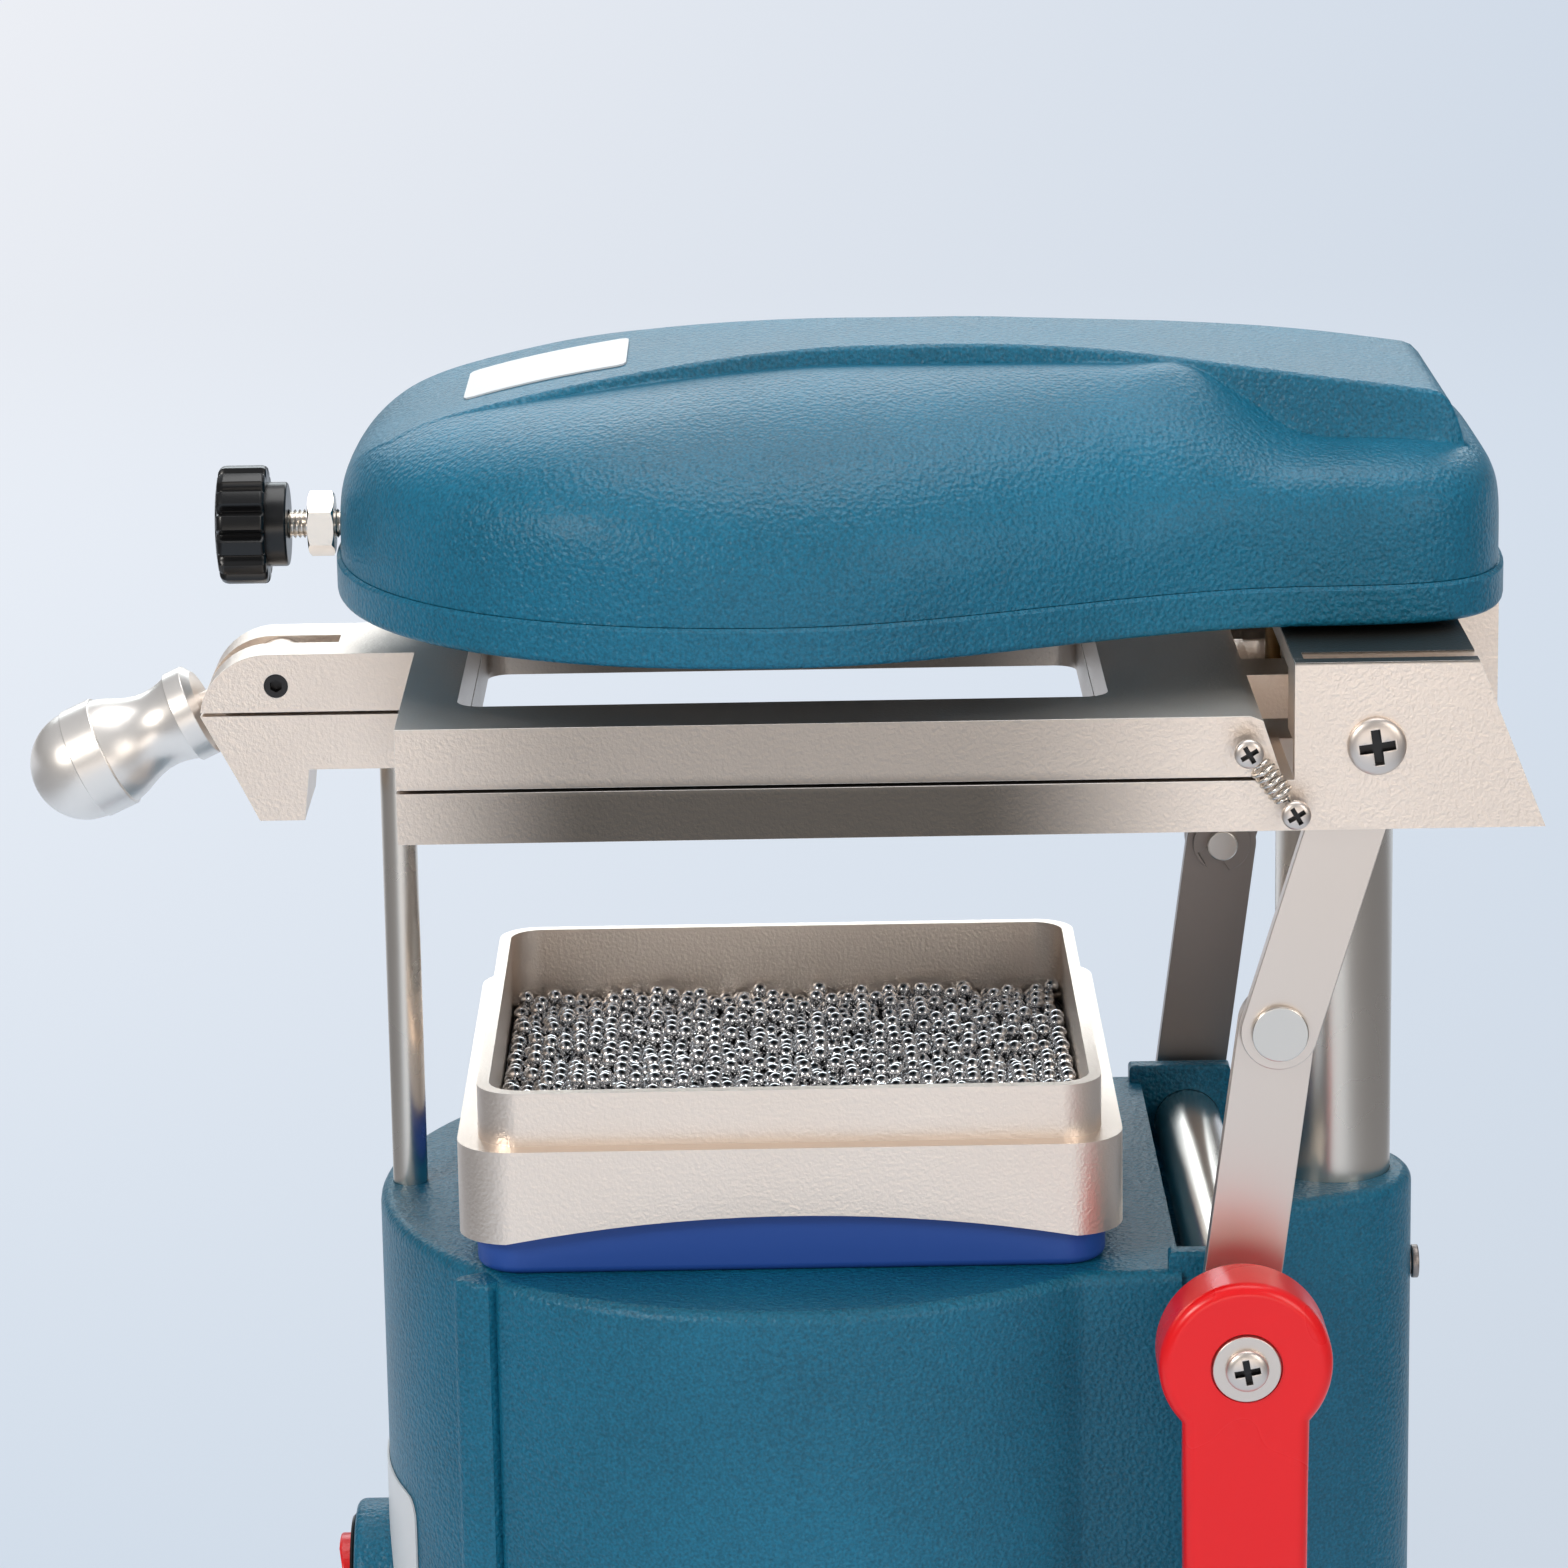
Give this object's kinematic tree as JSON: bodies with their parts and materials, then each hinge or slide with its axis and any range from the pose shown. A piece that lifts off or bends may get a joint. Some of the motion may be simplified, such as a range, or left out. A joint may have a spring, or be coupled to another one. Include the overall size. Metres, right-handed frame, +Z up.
{
  "type": "dental vacuum former",
  "caption": "Desktop vacuum former with a round cast base, a bead cup, a lever-lowered sheet frame on posts and a swinging heater head.",
  "frame": {"origin": "on the ground under the middle of the bead cup", "axes": "+Z up, -Y towards the front with the switches and the ball handle, +X towards the side with the lift lever"},
  "size_m": [0.1582, 0.2493, 0.2877],
  "materials": {
    "housing_paint": "textured powder coat",
    "plain_steel": "satin",
    "bright_steel": "polished",
    "cast_metal": "satin nickel plate over a fine cast texture",
    "bush_bronze": "plain",
    "black_plastic": "matt",
    "black_steel": "black oxide",
    "red_plastic": "glossy",
    "black_rubber": "matt",
    "blue_silicone": "satin",
    "white_plate": "printed sheet, blank"
  },
  "bodies": {
    "base": {"base_housing": "housing_paint", "bottom_cover": "plain_steel", "cover_screws": "bright_steel", "sole_ring": "black_rubber", "rear_post": "bright_steel", "post_set_screw": "plain_steel", "head_washer": "plain_steel", "head_bolt": "bright_steel", "front_label": "white_plate", "heat_switch_body": "black_plastic", "vacuum_switch_body": "black_plastic", "mains_inlet": "black_plastic", "inlet_pins": "bright_steel", "vacuum_motor": "black_steel", "suction_duct": "black_rubber", "silicone_pad": "blue_silicone", "bead_cup": "cast_metal", "steel_beads": "bright_steel"},
    "heat_rocker_body": {"heat_rocker": "red_plastic"},
    "vacuum_rocker_body": {"vacuum_rocker": "red_plastic"},
    "crank": {"lift_shaft": "bright_steel", "crank_arm_near": "plain_steel", "crank_arm_far": "plain_steel", "knee_pin_near": "bright_steel", "knee_pin_far": "bright_steel", "knee_clip_far": "plain_steel", "red_lever": "red_plastic", "lever_washer": "plain_steel", "lever_screw": "plain_steel", "knee_head_near": "bright_steel"},
    "near_link": {"link_near": "plain_steel"},
    "far_link": {"link_far": "plain_steel"},
    "carriage": {"lower_frame": "cast_metal", "carriage_block": "cast_metal", "post_bush": "bush_bronze", "guide_rod": "bright_steel", "pivot_screw_near": "plain_steel", "pivot_screw_far": "plain_steel", "hinge_pin": "bright_steel", "spring_screw_low": "bright_steel", "frame_spring": "bright_steel"},
    "top_frame": {"upper_frame": "cast_metal", "spring_screw_high": "bright_steel", "latch_pin": "black_steel"},
    "latch": {"latch_lever": "cast_metal", "ball_handle": "bright_steel"},
    "head": {"head_cover": "housing_paint", "head_skirt": "housing_paint", "head_hub": "cast_metal", "heater_dish": "plain_steel", "heater_plate": "black_steel", "heater_studs": "plain_steel", "head_label": "white_plate", "knob_stud": "bright_steel", "stud_nut": "bright_steel", "knob": "black_plastic"}
  },
  "joints": [
    {"name": "frame_drop", "type": "slide", "parent": "base", "child": "carriage", "axis": [0, 0, -1], "range_m": [0, 0.0554]},
    {"name": "lever_turn", "type": "hinge", "parent": "base", "child": "crank", "pos_m": [0, 0.0726, 0.1324], "axis": [-1, 0, 0], "range_deg": [0, 79.43]},
    {"name": "near_link_turn", "type": "hinge", "parent": "crank", "child": "near_link", "pos_m": [0.0628, 0.07919, 0.18317], "axis": [-1, 0, 0], "range_deg": [-132.6, 0]},
    {"name": "far_link_turn", "type": "hinge", "parent": "crank", "child": "far_link", "pos_m": [-0.0628, 0.07919, 0.18317], "axis": [-1, 0, 0], "range_deg": [-132.6, 0]},
    {"name": "frame_lift", "type": "hinge", "parent": "carriage", "child": "top_frame", "pos_m": [0, 0.086, 0.2322], "axis": [-1, 0, 0], "range_deg": [0, 3.2], "deforming": ["frame_spring"]},
    {"name": "latch_turn", "type": "hinge", "parent": "top_frame", "child": "latch", "pos_m": [0, -0.085, 0.2311], "axis": [-1, 0, 0], "range_deg": [0, 45]},
    {"name": "head_swing", "type": "hinge", "parent": "base", "child": "head", "pos_m": [0, 0.094, 0.25], "axis": [0, 0, 1], "range_deg": [-90, 90]},
    {"name": "heat_switch", "type": "hinge", "parent": "base", "child": "heat_rocker_body", "pos_m": [0, -0.0746, 0.066], "axis": [1, 0, 0], "range_deg": [0, 8]},
    {"name": "vacuum_switch", "type": "hinge", "parent": "base", "child": "vacuum_rocker_body", "pos_m": [0, -0.0746, 0.03], "axis": [1, 0, 0], "range_deg": [0, 8]}
  ],
  "couplings": [
    {"joint": "lever_turn", "follows": "frame_drop", "rad_per_m": 25.022},
    {"joint": "near_link_turn", "follows": "frame_drop", "rad_per_m": -41.77},
    {"joint": "far_link_turn", "follows": "frame_drop", "rad_per_m": -41.77}
  ]
}
